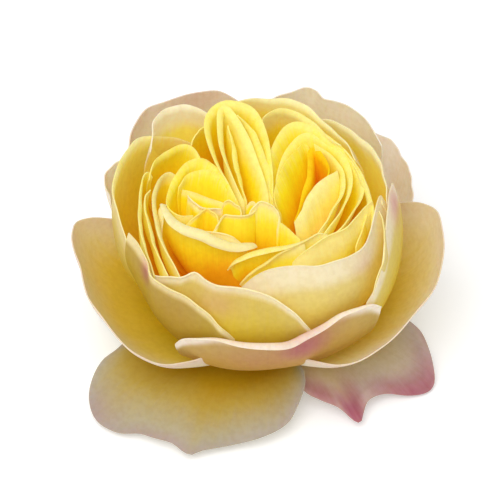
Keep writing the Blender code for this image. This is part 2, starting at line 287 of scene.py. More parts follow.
PETALS = (
    # Guard petals, bent down to the floor.
    sheet("guard_front_left", "guard",
          ((-36.5, -17, 9), (-42, -21, 6), (-45, -26.5, 3), (-45, -32.5, 2), (-42.5, -38.5, 2), (-37, -42, 2),
           (-31.5, -42.5, 2.5), (-27, -44.5, 3), (-22.5, -46.5, 3.5), (-19.5, -49, 3), (-17.5, -49.5, 2.5),
           (-14.5, -48.5, 3), (-7.5, -47, 3), (1, -45, 4), (7.5, -41.5, 5), (10.5, -37, 7), (12.5, -31.5, 9),
           (12, -27, 10)),
          shells=(3.9, 3.9, 3.85),
          look=Look(blush=((-0.5, 0.98, 0.15, 0.12, 0.22), (-0.1, 1.0, 0.3, 0.05, 0.22)))),
    sheet("guard_front_right", "guard",
          ((10.5, -27, 7), (12.5, -31.5, 6.3), (16.5, -34, 6.2), (21, -35.5, 5), (24.5, -37.5, 3),
           (27, -39, 2.5), (28, -35.5, 3), (29.5, -32.5, 4), (34, -30, 3.5), (40.5, -29, 1.5), (45.5, -27.5, 1),
           (47.5, -24.5, 1.5), (47, -19.5, 4), (46, -14, 5), (44, -9.5, 6), (39.5, -5, 7)),
          shells=(4.15, 4.1, 4.05),
          look=Look(pale=0.4, fade=0.08, shade=0.2,
                    blush=((-0.7, 0.92, 0.25, 0.2, 0.8), (-0.4, 0.93, 0.22, 0.2, 1.0),
                           (0.2, 0.98, 0.45, 0.14, 0.9)),
                    edge_blush=0.4)),
    sheet("guard_right", "guard",
          ring((-10, 30, 10), (2, 41, 5), (14, 45, 2), (26, 45, 1.5), (38, 42, 2.5), (52, 32, 9)),
          shells=(3.9, 3.9, 3.9)),
    sheet("guard_back", "guard",
          ring((62, 33, 10), (75, 42, 4), (90, 46, 1.5), (104, 46, 1.5), (120, 42, 3), (132, 33, 10)),
          shells=(4.08, 4.08, 4.08)),
    sheet("guard_left", "guard",
          ring((134, 32, 10), (146, 42, 4), (160, 45, 1.5), (174, 45, 1.5), (188, 41, 4), (200, 31, 10)),
          shells=(3.9, 3.9, 3.9)),
    # Spreading petals.
    sheet("spread_left", "spread",
          ((-38.5, 11, 28), (-45, 8, 32), (-49, 4.5, 34), (-49.5, -1, 35), (-48.5, -6.5, 35), (-46.5, -12, 34),
           (-45.5, -16.5, 33), (-44, -21.5, 31.5), (-40, -27, 30), (-34.5, -33.5, 28), (-30, -35.5, 26),
           (-24, -36, 23.4), (-17.5, -34.5, 22.5), (-13, -32.5, 22.3), (-9, -31, 21)),
          shells=(2.85, 2.85, 2.8, 2.65, 2.35),
          look=Look(edge_blush=0.12)),
    sheet("spread_right", "spread",
          ((8, -31, 20.5), (12, -33.3, 21.8), (16.5, -35.2, 22.6), (21, -36, 23), (26.5, -34.5, 23.2),
           (32, -31, 24.4), (38, -26, 26.2), (43, -20.5, 28.3), (47, -14.5, 29.8), (48.7, -8, 32),
           (49.2, 0, 34), (48.5, 7, 35), (45.5, 11, 34), (42, 14, 32), (38, 17, 28)),
          shells=(2.2, 2.55, 2.8, 2.9, 2.85),
          look=Look(fade=0.05, edge_blush=0.1)),
    sheet("spread_back_left", "spread",
          ((4, 42.5, 29), (1, 43.5, 35), (-4.5, 44, 40), (-7, 44.5, 42), (-11, 44.5, 44), (-16, 43, 45),
           (-21, 41, 45.5), (-26, 39, 45.5), (-31, 36, 45), (-34, 30.5, 43), (-35.5, 25, 40)),
          shells=(2.6, 2.6, 2.6),
          look=Look(pale=0.85, edge_blush=0.2, blush=((0.0, 0.97, 0.35, 0.12, 0.32),))),
    sheet("spread_left_back", "spread",
          ((-33, 29.5, 32), (-38, 28.5, 33), (-41, 26, 32.5), (-42, 22.5, 31), (-40.5, 17.5, 28),
           (-38.5, 14, 24)),
          shells=(3.1, 3.1, 3.1),
          look=Look(pale=0.7)),
    sheet("spread_back_right", "spread",
          ((33.5, 27, 40), (31.5, 30.5, 42.5), (29, 35, 43.5), (25.5, 38.5, 44), (21, 40.5, 44), (18, 41.5, 44),
           (16, 43.5, 45), (13, 45, 45), (9, 43.5, 45), (5, 42.5, 44), (2, 41, 42), (-3, 40.5, 37),
           (-6, 40, 30)),
          shells=(2.55, 2.55, 2.55),
          look=Look(pale=0.8)),
    sheet("spread_right_back", "spread",
          ((42, 16.5, 28), (42.5, 19, 31), (41.5, 24, 33), (40, 28.5, 34), (38, 33, 34.5), (35.5, 36.5, 34),
           (32.5, 39.5, 33)),
          shells=(3.0, 3.0, 3.0),
          look=Look(pale=1.0, fade=0.25, edge_blush=0.12, blush=((0.1, 0.9, 0.6, 0.25, 0.12),))),
    # The cup.
    sheet("cup_lip", "cup",
          ((-21.5, -31.5, 26.5), (-19.5, -32.5, 29.5), (-16, -34, 32), (-11.5, -35.5, 34), (-6.5, -37, 35),
           (-1.5, -37.5, 35), (3.5, -37.5, 35), (8, -37, 35), (12, -35.5, 36), (16.5, -33.5, 37.5),
           (21, -31, 39), (25.5, -29, 39), (29, -27.5, 38), (32, -25.5, 34)),
          shells=(2.3, 2.2, 2.1, 2.2, 2.3), claw_end=0.3,
          look=Look(roll=150, roll_width=3.8, roll_middle=0.08, cream=0.9, shade=0.45,
                    blush=((-0.1, 0.75, 0.9, 0.25, 0.5), (0.22, 0.84, 0.3, 0.16, 0.95),
                           (0.05, 0.91, 0.2, 0.04, 0.5), (0.5, 0.9, 0.15, 0.06, 0.4)))),
    sheet("cup_front_left", "cup",
          ((-33, -14.5, 50.5), (-30.5, -17.5, 49), (-28.5, -21.5, 47.5), (-27, -25, 46), (-23.5, -27, 44.5),
           (-19.5, -28.5, 43), (-16, -30.5, 41.5), (-12, -32.5, 39), (-9, -34.5, 36), (-6, -35, 32)),
          shells=(1.5, 1.75, 1.9, 1.95, 1.95), claw_end=0.3,
          look=Look(roll=50, roll_width=2.0, cream=0.35, cream_from=0.94, fade=-0.12, shade=0.65,
                    blush=((-0.55, 0.94, 0.12, 0.06, 0.7), (0.0, 0.85, 0.5, 0.15, 0.16)))),
    sheet("cup_front", "cup",
          ((-28, -21, 42), (-25.5, -23.5, 44), (-22.5, -24.5, 45), (-19.5, -25.5, 46), (-16, -25, 47.5),
           (-13, -27.5, 47.5), (-10, -29, 47.5), (-6, -29.5, 47.5), (-2, -30, 47), (2.5, -31, 45.5),
           (6, -32, 43.5), (9.5, -33, 40.5), (12, -33.5, 37), (14, -33.5, 33.5)),
          shells=(1.6, 1.75, 1.75), claw_end=0.3,
          look=Look(roll=90, roll_width=2.4, cream=0.5, cream_from=0.94, fade=-0.04, shade=0.2,
                    blush=((-0.15, 0.9, 0.2, 0.06, 0.3),))),
    sheet("cup_front_right", "cup",
          ((-6, -24, 37.5), (-3.5, -24.5, 41.5), (-1, -24.5, 44.5), (2, -24.5, 47), (6, -24.5, 48.5),
           (10.5, -25, 49.5), (15, -25.5, 50), (19.5, -24, 50.5), (23, -22.5, 50.5), (26.5, -19.5, 50.5),
           (29, -14, 50.5), (30, -8, 50.5), (31, -4, 51.5), (32, -2, 51.5), (32.5, -4.5, 50.5)),
          shells=(1.3, 1.45, 1.6, 1.6, 1.5), claw_end=0.3,
          look=Look(roll=40, roll_width=1.6, cream=0.5, cream_from=0.86, pale=0.1,
                    blush=((0.25, 0.93, 0.1, 0.05, 0.25),), painted_hollow_shade=((0.9, 1.0, 0.16, 0.3, 0.35),))),
    sheet("cup_right", "cup",
          ((28, -27, 37), (30, -25.5, 41), (31, -23.5, 43.5), (32, -20, 46), (32.5, -16.5, 47.5), (33, -12, 49),
           (33.5, -7, 50), (34, -2, 50.5), (35, 2.5, 50), (35.5, 6.5, 47), (35.5, 9.5, 42)),
          shells=(2.1, 2.1, 2.1), claw_end=0.3,
          look=Look(ruffle=0.08, cream=0.5, blush=((0.35, 0.95, 0.2, 0.06, 0.6),))),
    sheet("cup_right_inner", "cup",
          ((29.5, -26, 40), (30.5, -24, 43.5), (32, -21, 46), (32.5, -17, 48), (32.5, -13, 49.5), (32, -9, 50),
           (31.5, -6.5, 50)),
          shells=(1.85, 1.85, 1.85), claw_end=0.3, node=False,
          look=Look(ruffle=0.08)),
    sheet("cup_right_back", "cup",
          ((33.5, -2, 48), (33.5, 4, 49.5), (32, 10.5, 50), (29.5, 16.5, 50), (26, 21.5, 50), (22, 25, 50),
           (18, 28, 49), (14, 32, 46)),
          shells=(1.65, 1.6, 1.6),
          look=Look(roll=50, roll_width=2.4, fade=0.05, cream=0.2)),
    sheet("cup_back", "cup",
          ((26, 13, 49), (23.5, 17.5, 50), (20.5, 21.5, 50.5), (17.5, 25, 51), (14.5, 28, 51.5),
           (11.5, 30.5, 52), (7.5, 32, 52.5), (2, 32, 53), (-3.5, 31.5, 53), (-9, 30, 52)),
          shells=(1.0, 1.15, 1.3),
          look=Look(roll=60, roll_width=2.6, fade=0.06)),
    sheet("cup_back_left", "cup",
          ((-8, 32.5, 45), (-13, 31, 48), (-17, 31.5, 50), (-21, 32, 50.5), (-24.5, 31, 50.5),
           (-27, 27.5, 50.5), (-28, 23, 50), (-29, 17, 48)),
          shells=(1.65, 1.65, 1.65),
          look=Look(roll=50, roll_width=2.4, fade=0.06, cream=0.6, cream_from=0.84)),
    sheet("cup_left", "cup",
          ((-17, 31, 37), (-21.5, 29, 41), (-25.5, 26.5, 44), (-29, 24, 46.5), (-32.5, 20.5, 49), (-35, 16, 49),
           (-37, 9.5, 49), (-37.5, 2, 48), (-36.5, -4, 47), (-35.3, -8.5, 45.5), (-33.7, -13, 43),
           (-31.5, -17, 40)),
          shells=(2.0, 2.0, 2.0, 1.95, 1.85, 1.45),
          look=Look(roll=45, roll_width=2.2, shade=0.15)),
    # Petals that line the cup.
    sheet("lining_left_1", "lining",
          ((-28, 10, 45.5), (-29, 10.5, 47), (-30, 8.5, 47.5), (-30.5, 3.5, 47.5), (-30.5, -2, 47),
           (-30, -8.5, 46.5), (-29, -15, 46), (-27.5, -20, 45), (-26.5, -23.5, 44)),
          claw=0.7, claw_share=0.2,
          look=Look(roll=70, roll_width=2.2)),
    sheet("lining_left_2", "lining",
          ((-28.5, 5, 46), (-29.5, 2, 46.5), (-29, -2.5, 46), (-27.5, -8.5, 45.5), (-26, -15, 45),
           (-24.5, -20, 44.5), (-23, -23, 43.5)),
          claw=-0.7, claw_share=0.2,
          look=Look(roll=70, roll_width=2.2)),
    sheet("lining_left_3", "lining",
          ((-21, 10.5, 45), (-23.5, 11, 46.5), (-25.5, 9, 46.5), (-26.5, 5.5, 46.5), (-27, 1, 46),
           (-26, -5, 45.5), (-24.5, -11.5, 44.5), (-22.5, -17, 43.5), (-20, -22.5, 42.5)),
          claw=0.5, claw_share=0.2,
          look=Look(roll=80, roll_width=2.6, cream=0.2)),
    sheet("lining_back_left", "lining",
          ((-15, 15.5, 46), (-16.5, 17.5, 48), (-19, 19, 48.5), (-22, 18, 48.5), (-25, 16, 48),
           (-27.5, 12.5, 48), (-28.5, 10.5, 47), (-29, 9, 45.5)),
          look=Look(roll=60, roll_width=2.2)),
    sheet("lining_left_back", "lining",
          ((-12, 28.5, 48.5), (-14.5, 25.5, 49), (-16.5, 23, 49), (-18, 20, 47.5)),
          node=False),
    sheet("lining_back", "lining",
          ((22, 17.5, 50), (18.5, 20.5, 50), (15, 24, 51), (11.5, 27, 51.5), (8, 29, 51.5), (4.5, 29, 51.5),
           (1.5, 27.5, 50.5), (1, 25.5, 49)),
          look=Look(roll=60, roll_width=2.6, fade=0.08)),
    sheet("lining_right_1", "lining",
          ((27.5, -15, 41.5), (29, -10, 44.5), (29.5, -4.5, 47), (29, 0.5, 47.5), (28, 5, 48), (26.5, 9, 49),
           (25, 12.5, 49.5), (23, 16, 50)),
          claw=-0.7, claw_share=0.2,
          look=Look(roll=70, roll_width=2.2)),
    sheet("lining_right_2", "lining",
          ((25.5, -12, 42), (27, -7.5, 45), (28, -3.5, 46.5), (28.5, 1, 47.5), (27.5, 5.5, 48), (26, 9.5, 48.5),
           (24.5, 13, 49)),
          claw=0.8, claw_share=0.2,
          look=Look(roll=70, roll_width=2.2)),
    # Left fan.
    sheet("fold_left_1", "fold",
          ((-5, 2, 43.5), (-7, 5.5, 45.5), (-9.5, 11, 46), (-12.5, 14.5, 46.5), (-15, 16, 47), (-18, 14.5, 47),
           (-20.5, 11, 47), (-22.5, 7, 46), (-23.5, 2, 45.5), (-23, -1, 45), (-20.5, -3, 44.5),
           (-17, -2.5, 44)),
          valley=LEFT,
          look=Look(roll=80, roll_width=2.6)),
    sheet("fold_left_2", "fold",
          ((-5.5, 2.5, 43), (-7.5, 6, 45), (-10.5, 10.5, 46), (-13, 12.5, 46), (-16, 12, 46), (-19, 10, 46),
           (-21, 7, 45)),
          valley=LEFT,
          look=Look(roll=70, roll_width=2.4)),
    sheet("fold_left_3", "fold",
          ((-8, 2, 43.5), (-11, 2.5, 44.5), (-14, 3.5, 45), (-17, 4.5, 45.5), (-20, 6, 45)),
          valley=LEFT,
          look=Look(roll=80, roll_width=2.2, cream=0.25, cream_from=0.95, fade=-0.05)),
    sheet("page_left_1", "fold",
          ((-19, 5, 44.5), (-17, 2.5, 45), (-14.5, 1, 44.5), (-11.5, 0.5, 44), (-8.5, 0.5, 43)),
          valley=LEFT,
          look=Look(roll=90, roll_width=2.6, cream=0.5, cream_from=0.94)),
    sheet("page_left_2", "fold",
          ((-12, 0, 42.5), (-14.5, 0, 43.5), (-16.5, 1.5, 44), (-18, 3.5, 44)),
          valley=LEFT, node=False,
          look=Look(roll=90, roll_width=2.0, cream=0.4, cream_from=0.95, fade=-0.04)),
    # Back fan.
    sheet("fold_back_1", "fold",
          ((4, 3, 43), (4, 8, 45.5), (3.5, 13.5, 47.5), (2.5, 19, 50), (0.5, 23.5, 52.5), (-2, 27.5, 53.5),
           (-5.5, 29, 54), (-9, 29.5, 54), (-12, 27.5, 53.5), (-13.5, 24, 52.5), (-13, 19.5, 51),
           (-11, 14, 48.5), (-8, 8, 46), (-6, 3.5, 44), (-4.5, 1.5, 42.5)),
          valley=BACK,
          look=Look(roll=90, roll_width=3.0, fade=0.02)),
    sheet("fold_back_2", "fold",
          ((3, 2.5, 43), (2.5, 5.5, 45), (1, 9.5, 48), (-1.5, 15, 50.5), (-4.5, 20.5, 53), (-7, 25, 54),
           (-9, 27.5, 54.5), (-10, 26, 54), (-10, 22, 52.5), (-9.5, 17, 50.5), (-7.5, 11.5, 48),
           (-5.5, 6.5, 45), (-3.5, 3, 43)),
          valley=BACK,
          look=Look(roll=90, roll_width=2.8, fade=0.07)),
    sheet("page_back_1", "heart",
          ((-8, 22.5, 52.5), (-6.5, 18, 50.5), (-5.5, 13, 48.5), (-4.5, 8.5, 46), (-3, 3.5, 43)),
          valley=BACK,
          look=Look(roll=90, roll_width=2.6, fade=0.04)),
    sheet("page_back_2", "heart",
          ((3.5, 3.5, 43), (3, 8, 45.5), (2, 13, 48), (0, 17.5, 50.5), (-2.5, 22, 52.5), (-5.5, 25.5, 53.5)),
          valley=BACK,
          look=Look(roll=90, roll_width=2.8, fade=0.04)),
    # Right fan.
    sheet("fold_right_1", "fold",
          ((18.5, -10, 44), (21.5, -8.5, 45.5), (24.5, -4, 46.5), (27, 1, 47), (27.5, 6.5, 47.5),
           (25.5, 12, 48.5), (22.5, 17, 49), (18.5, 21, 50), (14.5, 24, 50.5), (10.5, 26, 50.5), (7.5, 25, 50),
           (5, 21, 49), (3, 15.5, 47.5), (2.5, 10, 46), (3, 5.5, 44.5), (4.5, 2.5, 42.5)),
          valley=RIGHT,
          look=Look(roll=70, roll_width=2.6, fade=0.03)),
    sheet("fold_right_2", "fold",
          ((17, -9, 43.5), (19.5, -6, 45.5), (22, -1.5, 46), (24, 3.5, 47), (24.5, 9.5, 47.5), (22.5, 15, 48.5),
           (19, 19.5, 49), (15.5, 22, 49.5), (12, 22.5, 49.5), (9, 19.5, 49), (6.5, 15, 48), (5, 9.5, 46.5),
           (5, 5.5, 45)),
          valley=RIGHT,
          look=Look(roll=70, roll_width=2.4, fade=0.03)),
    sheet("fold_right_3", "fold",
          ((15.5, -8, 43), (18, -5, 45), (20, -0.5, 46), (22, 4, 46.5), (22.5, 10, 47), (20.5, 14.5, 47.5),
           (17.5, 18, 48), (15, 19.5, 48.5)),
          valley=RIGHT,
          look=Look(roll=60, roll_width=2.2, fade=0.03)),
    sheet("page_right_1", "heart",
          ((16.5, 8, 45), (18.5, 10, 46.5), (18.5, 13, 47), (17, 16.5, 47.5), (15, 19, 47.5), (14, 18, 47.5),
           (14, 14.5, 46.5), (13.5, 10, 46), (12, 5, 45), (11, 0.5, 44), (9.5, -3, 42.5)),
          valley=HOLLOW,
          look=Look(roll=80, roll_width=2.4, fade=-0.17)),
    sheet("page_right_2", "heart",
          ((13.5, 19.5, 47.5), (12, 20, 48), (10, 17.5, 48), (7.5, 14, 47.5), (6, 10.5, 47), (4.5, 6, 45.5),
           (4.5, 2, 44), (6, -0.5, 42.5)),
          foot=((15, 17), (13.5, 12), (11, 5), (8, 0))),
    sheet("page_right_3", "heart",
          ((21, 11, 47), (18.5, 9, 47), (15.5, 6.5, 46.5), (13, 2.5, 45.5), (11.5, -1, 44.5), (9.5, -4, 43)),
          foot=((21, 8), (19, 4), (16, 0), (12, -5)),
          look=Look(roll=60, roll_width=2.2, pale=0.2, fade=0.04)),
    # Petals that wrap across the front of the heart.
    sheet("front_fold_1", "fold",
          ((-7.5, -16.5, 40.5), (-6.5, -16.3, 43.3), (-4, -15.6, 45), (-0.5, -14.6, 46), (3.5, -13.8, 46.2),
           (8, -13.5, 46.3), (12, -12, 46), (15.5, -10.5, 46), (18.5, -10.5, 45)),
          foot=((-5, -10), (0, -9), (6, -8), (12, -7), (18, -6)),
          look=Look(roll=150, roll_width=4.5, roll_middle=-0.3, cream=0.2,
                    painted_hollow_shade=((-0.8, 0.5, 0.5, 0.3, 0.2),))),
    sheet("front_fold_2", "fold",
          ((-4.5, -20, 37), (-3, -19.3, 40.2), (-0.5, -18.2, 42.3), (2.5, -16.8, 43.7), (5, -15.8, 44.8),
           (8.5, -14.7, 45.2), (12, -13.6, 45.2)),
          foot=((-4, -14), (0, -13), (5, -11), (9, -10), (13, -9)),
          look=Look(roll=120, roll_width=3.0, roll_middle=-0.2, cream=0.2,
                    painted_hollow_shade=((-0.8, 0.5, 0.5, 0.3, 0.15),))),
    sheet("front_fold_3", "fold",
          ((8.5, -16.5, 40.5), (10, -16.5, 43), (12.5, -15.5, 45), (15.5, -13.5, 46), (18.5, -11.5, 46.5),
           (22, -10, 47), (24.5, -7.5, 47.5), (27, -4.5, 48), (29.5, -1.5, 48.5)),
          foot=((9, -12), (14, -11), (20, -9), (25, -5), (28, -1)),
          look=Look(roll=30, roll_width=2.0, pale=0.05, fade=0.1)),
    sheet("front_flank_1", "fold",
          ((-25, -5, 44), (-25, -1.5, 45.5), (-24.5, 0.3, 47), (-22, -3.2, 47.2), (-18.5, -6.2, 48),
           (-13.6, -8.6, 48.9), (-10, -10.3, 48.2), (-6, -11.3, 46.8), (-3.5, -10.8, 45.8), (-2.2, -9.8, 44.2)),
          look=Look(roll=200, roll_width=7.5, roll_middle=0.35, cream=0.45, cream_from=0.84, fade=0.02,
                    painted_hollow_shade=((0.7, 0.5, 0.5, 0.3, 0.3),))),
    sheet("front_flank_2", "fold",
          ((-16, -7.5, 43.3), (-13, -8, 43.9), (-10, -8.8, 44.4), (-7, -9.5, 43.8), (-4.5, -10.5, 42.3)),
          look=Look(roll=60, roll_width=1.5, cream=0.3, cream_from=0.95)),
    # The heart.
    sheet("heart_front", "heart",
          ((-3, -5.5, 42), (-2.5, -3, 44.5), (-1.5, -1.5, 46), (0.5, 0, 47), (2.5, -0.5, 47), (4.5, -1.5, 46),
           (5.5, -3.5, 45), (5, -6.5, 43)),
          look=Look(roll=50, roll_width=2.0, cream=0.3, cream_from=0.95, fade=0.05)),
    sheet("heart_left", "heart",
          ((-9.5, -1, 44), (-9, 0.5, 45.5), (-7.5, 1, 46.5), (-6, 0, 46), (-4.5, -1, 45.5), (-4.5, -3, 44.5)),
          look=Look(roll=60, roll_width=1.5, cream=0.35, cream_from=0.965, fade=-0.06)),
    sheet("heart_ribbon", "heart",
          ((-12, -8, 43), (-10.5, -6.5, 45), (-9, -3.5, 45.5), (-6.5, -3.5, 45.5), (-3.5, -3.5, 45.5),
           (-1.5, -2.5, 45.5), (-0.5, -1, 45.5), (-1, 1, 45.5), (-2, 1.5, 45), (-3, 1, 44)),
          node=False,
          look=Look(roll=80, roll_width=1.6, cream=0.4, cream_from=0.965, fade=-0.04)),
    sheet("heart_lobe", "heart",
          ((-19, -6, 44), (-17.5, -5, 45), (-15.5, -3.5, 46), (-13.5, -1.5, 46), (-12, -2.5, 46),
           (-10.5, -4, 45.5), (-10.5, -6, 45), (-11.5, -7.5, 43.5)),
          node=False,
          look=Look(roll=60, roll_width=1.6, cream=0.25, cream_from=0.965, fade=-0.08)),
    sheet("heart_right", "heart",
          ((5, -4, 43.5), (7, -6, 44), (9, -8, 43.5), (11, -9.5, 42.5)),
          node=False),
)


def petal_points(petal, across, along):
    """The petal's middle surface in millimetres, as rows from claw to lip, with s and v at each point."""
    steps = np.linspace(-1.0, 1.0, SAMPLES)
    rows = 1.0 - (1.0 - np.linspace(0.0, 1.0, along + 1)) ** ROW_POWER
    v, u = np.meshgrid(rows, np.linspace(-1.0, 1.0, across + 1), indexing="ij")
    s = mix(petal.claw, u, mix(petal.claw_share, 1.0, smooth(v / petal.claw_end)))
    plan, lip = (np.stack([np.interp(s, steps, line[:, axis]) for axis in range(line.shape[1])], axis=-1)
                 for line in (petal.plan, petal.lip))
    reach = np.interp(s, steps, petal.reaches)
    gap = lip - bloom_point(plan, reach)
    return bloom_point(plan, reach * v) + gap * rise(v)[..., None], s, v


def outward(points):
    """Unit normals of a grid of points, away from the bloom's axis for a petal that wraps it."""
    over = np.gradient(points, axis=1)
    up = np.gradient(points, axis=0)
    normal = np.cross(over, up)
    return normal / np.maximum(np.linalg.norm(normal, axis=-1, keepdims=True), 1e-9)


def roll_lip(points, v, look):
    """Bend the last part of each line from claw to lip round an arc, less and less toward the petal's sides.
    The petal below the lip gives way, so that the lip stays near its place."""
    if not look.roll:
        return points
    normals = outward(points)
    rolled = points.copy()
    places = np.linspace(-1.0, 1.0, points.shape[1])
    shares = 1.0 - ((places - look.roll_middle) / (1.0 + abs(look.roll_middle))) ** 2
    bend = look.roll_width / math.radians(look.roll)
    for column, share in enumerate(shares):
        line = points[:, column]
        lengths = np.concatenate(((0.0,), np.cumsum(np.linalg.norm(np.diff(line, axis=0), axis=1))))
        start = lengths[-1] - look.roll_width * share
        first = int(np.searchsorted(lengths, start))
        base = np.array([np.interp(start, lengths, line[:, axis]) for axis in range(3)])
        along = line[min(first, len(line) - 1)] - line[first - 1]
        along = along / np.linalg.norm(along)
        for row in range(first, len(line)):
            angle = (lengths[row] - start) / bend
            rolled[row, column] = (base + along * (bend * math.sin(angle))
                                   + normals[first, column] * (bend * (1.0 - math.cos(angle))))
    return rolled + (points[-1] - rolled[-1]) * (ROLL_HOLD * rise(v)[..., None])


# --------------------------------------------------------------------------- shader wiring

OBJECT_PLACE = 3               # the Texture Coordinate socket that gives a place on the object
MIX_COLOR_SOCKETS = (6, 7)     # the Mix node's two colours
MIX_COLOR_RESULT = 2
ATTRIBUTE_NUMBER = 2           # the Attribute node's single number


class Wire:
    """A shader value that takes part in sums: each sum adds its Math node."""

    def __init__(self, tree, socket):
        self.tree = tree
        self.socket = socket

    def math(self, operation, *values):
        return node(self.tree, "ShaderNodeMath", {"operation": operation}, *values)

    def __add__(self, other):
        return self.math("ADD", self, other)

    __radd__ = __add__

    def __sub__(self, other):
        return self.math("SUBTRACT", self, other)

    def __rsub__(self, other):
        return self.math("SUBTRACT", other, self)

    def __mul__(self, other):
        return self.math("MULTIPLY", self, other)

    __rmul__ = __mul__

    def step(self, low, high):
        """0 below low, 1 above high, smooth between."""
        return node(self.tree, "ShaderNodeMapRange", {"interpolation_type": "SMOOTHSTEP"},
                    self, low, high, 0.0, 1.0)


def fill_socket(tree, socket, value):
    """Link a wire to a socket, or set the socket to a value."""
    if isinstance(value, Wire):
        tree.links.new(value.socket, socket)
    elif socket.type == "RGBA":
        socket.default_value = (*value, 1.0)
    else:
        socket.default_value = value


def node(tree, kind, settings, *values, out=0, **named):
    """Add a node: its settings first, then the values or wires of its sockets, by place or by name."""
    made = tree.nodes.new(kind)
    for key, value in settings.items():
        setattr(made, key, value)
    for key, value in (*enumerate(values), *named.items()):
        fill_socket(tree, made.inputs[key], value)
    return Wire(tree, made.outputs[out])


def blend_colors(tree, share, a, b, way="MIX"):
    """Colour a where share is 0 and b where it is 1. A Mix node's colour sockets share their names with its
    other sockets, so they are found by place."""
    made = node(tree, "ShaderNodeMix", {"data_type": "RGBA", "blend_type": way, "clamp_factor": True}, share,
                out=MIX_COLOR_RESULT)
    for place, color in zip(MIX_COLOR_SOCKETS, (a, b)):
        fill_socket(tree, made.socket.node.inputs[place], color)
    return made


def attribute(tree, name):
    """A number that the piece's own mesh gives at each point."""
    return node(tree, "ShaderNodeAttribute", {"attribute_name": name}, out=ATTRIBUTE_NUMBER)


def noise(tree, place, scale, detail, **more):
    """Soft uneven spots, at the fineness given."""
    return node(tree, "ShaderNodeTexNoise", {}, place, Scale=scale, Detail=detail, **more)


def finish_material(tree, shader, constants, **inputs):
    """Set the shader's constant sockets, and link the others."""
    for name, value in constants.items():
        shader.inputs[name].default_value = value
    for name, value in inputs.items():
        fill_socket(tree, shader.inputs[name.replace("_", " ")], value)


@dataclass(frozen=True)
class Skin:
    """How a kind of petal is coloured. Each side has its deep, middle, light and edge colour: partly the
    petal's own deeper base and paler lip, and partly painted warm shade in the deep crevices and under the cup
    and painted highlight along the lips.
    """
    glow: float      # strength of its own light, for the light that passes through thin petals
    gloss: float
    stops: tuple     # from where to where, along the petal, deep turns middle, middle light and light edge
    inner: tuple
    outer: tuple


SKINS = {
    "heart": Skin(0.14, 0.15, (0.60, 0.86, 0.78, 0.97, 0.92, 1.04),
                  ((0.78, 0.24, 0.003), (0.90, 0.57, 0.004), (0.92, 0.74, 0.010), (0.92, 0.82, 0.20)),
                  ((0.78, 0.27, 0.004), (0.90, 0.61, 0.006), (0.91, 0.75, 0.030), (0.92, 0.82, 0.24))),
    "fold": Skin(0.14, 0.15, (0.58, 0.85, 0.76, 0.96, 0.91, 1.04),
                 ((0.78, 0.28, 0.003), (0.89, 0.59, 0.005), (0.91, 0.74, 0.014), (0.92, 0.82, 0.23)),
                 ((0.78, 0.32, 0.005), (0.88, 0.65, 0.012), (0.90, 0.76, 0.070), (0.91, 0.82, 0.30))),
    "lining": Skin(0.14, 0.15, (0.58, 0.85, 0.76, 0.96, 0.90, 1.04),
                   ((0.78, 0.30, 0.003), (0.88, 0.60, 0.006), (0.90, 0.74, 0.025), (0.91, 0.82, 0.28)),
                   ((0.78, 0.34, 0.005), (0.87, 0.66, 0.018), (0.89, 0.76, 0.100), (0.90, 0.81, 0.34))),
    "cup": Skin(0.18, 0.2, (0.45, 0.74, 0.68, 0.94, 0.90, 1.04),
                ((0.80, 0.48, 0.008), (0.89, 0.69, 0.035), (0.91, 0.79, 0.15), (0.91, 0.84, 0.45)),
                ((0.56, 0.35, 0.008), (0.66, 0.48, 0.030), (0.64, 0.50, 0.13), (0.68, 0.56, 0.28))),
    "spread": Skin(0.12, 0.2, (0.32, 0.70, 0.58, 0.88, 0.78, 0.99),
                   ((0.60, 0.41, 0.010), (0.74, 0.56, 0.070), (0.81, 0.69, 0.33), (0.84, 0.75, 0.58)),
                   ((0.60, 0.48, 0.100), (0.68, 0.59, 0.290), (0.72, 0.62, 0.43), (0.74, 0.62, 0.50))),
    # The guard petals' colours are darker partly for their duller own tone and partly as painted shade, for
    # they lie in the bloom's shadow.
    "guard": Skin(0.04, 0.1, (0.46, 0.74, 0.66, 0.92, 0.86, 1.02),
                  ((0.42, 0.26, 0.008), (0.45, 0.33, 0.065), (0.42, 0.37, 0.23), (0.40, 0.37, 0.33)),
                  ((0.40, 0.36, 0.150), (0.50, 0.46, 0.270), (0.56, 0.50, 0.36), (0.58, 0.50, 0.40))),
}

MOTTLE_SCALE = 55.0          # fineness of a petal's soft mottling
GRAIN_SCALE = 650.0          # fineness of its finest spots
VEINS_ACROSS = 22.0          # how closely its veins stand
VEINS_ALONG = 1.6            # how soon they change along it
VEINS_APART = 9.0            # how much they differ from petal to petal
UNEVEN = 0.16                # how far mottling and veins shift its colours along it
VEIN_TINT = (0.98, 0.90, 0.72)   # what its colours are multiplied by along the veins
GRAIN_TINT = (0.90, 0.86, 0.76)  # and in its finest spots
PAINTED_SHADE_TINT = (0.42, 0.34, 0.26)  # and where its painted shade is full
BUMP_DISTANCE = 0.0003       # in metres
GREEN_SCALE = 160.0          # fineness of the soft spots on hip, sepals and stem
GREEN_GRAIN = 9.0            # how much finer their small spots are
RED_BROWN = (0.20, 0.09, 0.03)


def graded(tree, place, stops, colors):
    """Deep, middle, light and edge colours along a petal."""
    deep, middle, light, edge = colors
    color = blend_colors(tree, place.step(stops[0], stops[1]), deep, middle)
    color = blend_colors(tree, place.step(stops[2], stops[3]), color, light)
    return blend_colors(tree, place.step(stops[4], stops[5]), color, edge)


def about_one(spots, spread):
    """A factor that the spots move about 1, by the spread in all."""
    return (1.0 - spread / 2.0) + spots * spread


